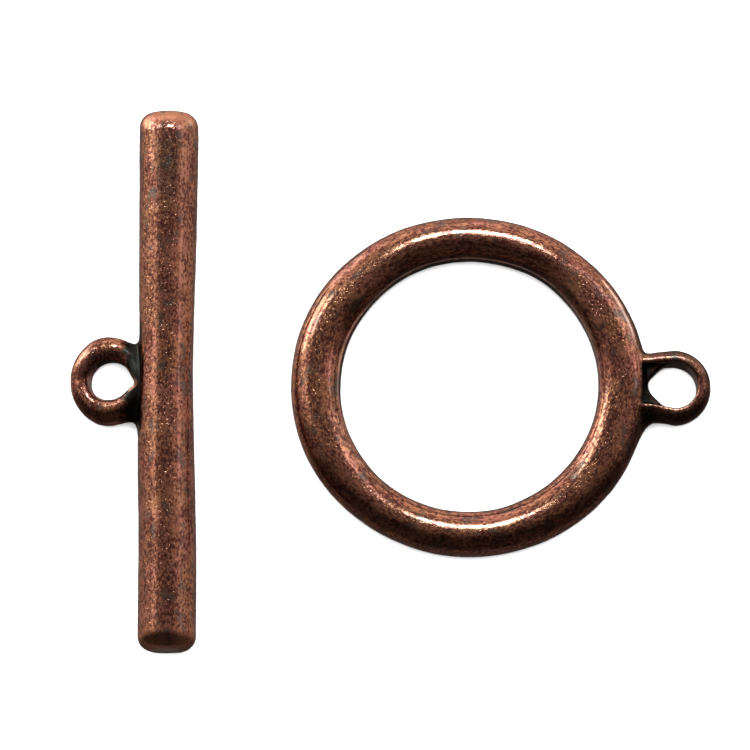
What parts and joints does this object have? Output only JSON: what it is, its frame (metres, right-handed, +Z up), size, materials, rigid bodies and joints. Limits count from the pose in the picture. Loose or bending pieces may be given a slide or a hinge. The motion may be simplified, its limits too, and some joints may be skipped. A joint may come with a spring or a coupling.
{
  "type": "toggle clasp",
  "caption": "Two-piece jewellery closure: a round ring with an eye, and a straight T-bar with an eye that passes through the ring and lies across it.",
  "frame": {"origin": "on the surface that the clasp lies on, under the middle of the box round both pieces", "axes": "+X points from the bar to the ring and along the ring's eye, +Y along the bar, +Z up from the surface"},
  "size_m": [0.0368, 0.0316, 0.0034],
  "materials": {
    "antique_copper": "antique copper plate, dark in its recesses and rubbed bright on its crowns"
  },
  "bodies": {
    "root": {"toggle_bar": "antique_copper", "toggle_ring": "antique_copper"}
  },
  "joints": []
}
